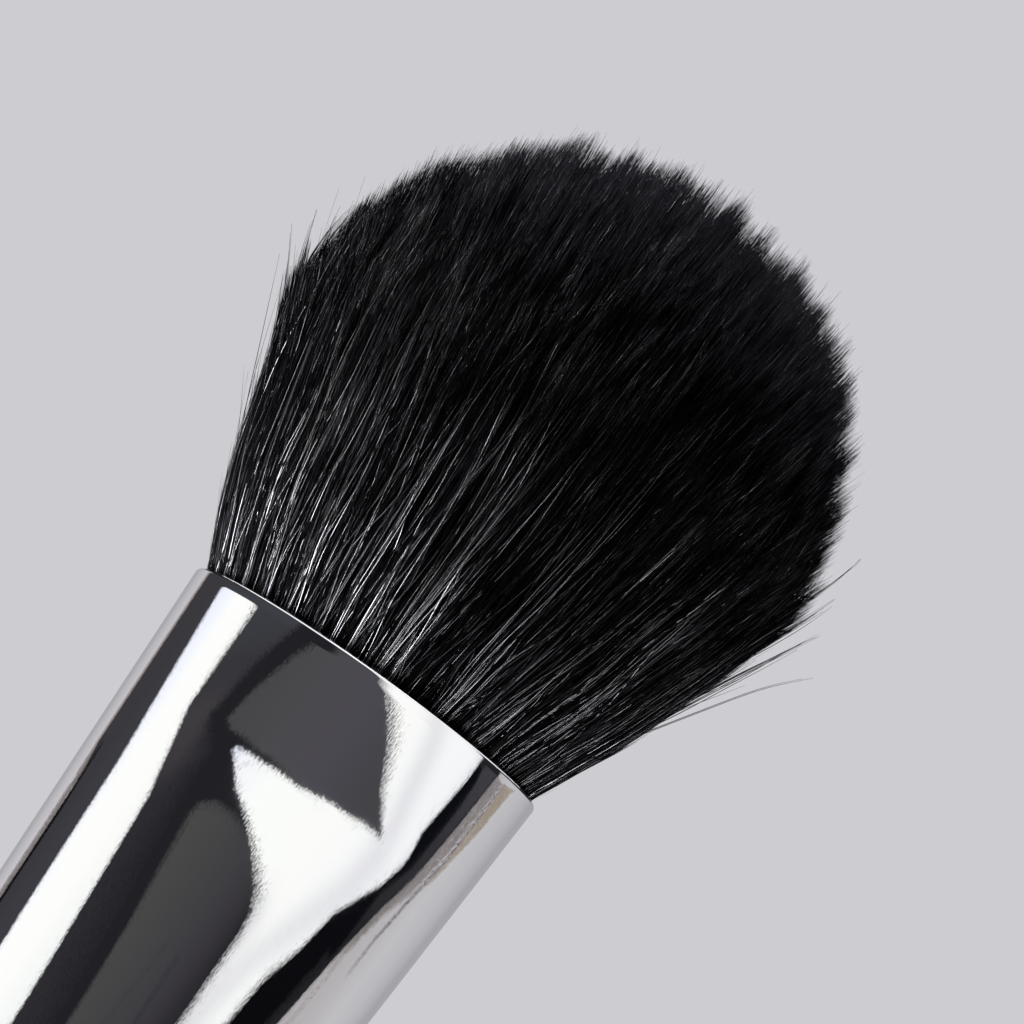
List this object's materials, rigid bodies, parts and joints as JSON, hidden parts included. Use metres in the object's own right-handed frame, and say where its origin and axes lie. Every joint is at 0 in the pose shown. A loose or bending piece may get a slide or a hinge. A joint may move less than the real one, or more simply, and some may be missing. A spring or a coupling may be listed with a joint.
{
  "type": "blush brush",
  "caption": "Blush brush with a round domed tuft of black hair, a polished conical metal ferrule and a tapered gloss black handle with a flat butt.",
  "frame": {"origin": "middle of the flat turned on the handle's butt, the face that the brush stands on", "axes": "+Z along the brush's axis of symmetry, from the butt to the tip of the hair. The brush is turned, so X and Y are any two directions across it"},
  "size_m": [0.0322, 0.0322, 0.1698],
  "materials": {
    "lacquered_wood": "gloss black lacquer",
    "polished_chrome": "mirror polished",
    "wood_glue": "set glue",
    "epoxy": "cast, amber",
    "black_hair": "fine straight hair",
    "nylon_thread": "twisted thread"
  },
  "bodies": {
    "root": {"handle": "lacquered_wood", "ferrule": "polished_chrome", "tenon_adhesive": "wood_glue", "root_adhesive": "epoxy", "tuft": "black_hair", "binding_thread": "nylon_thread"}
  },
  "joints": []
}
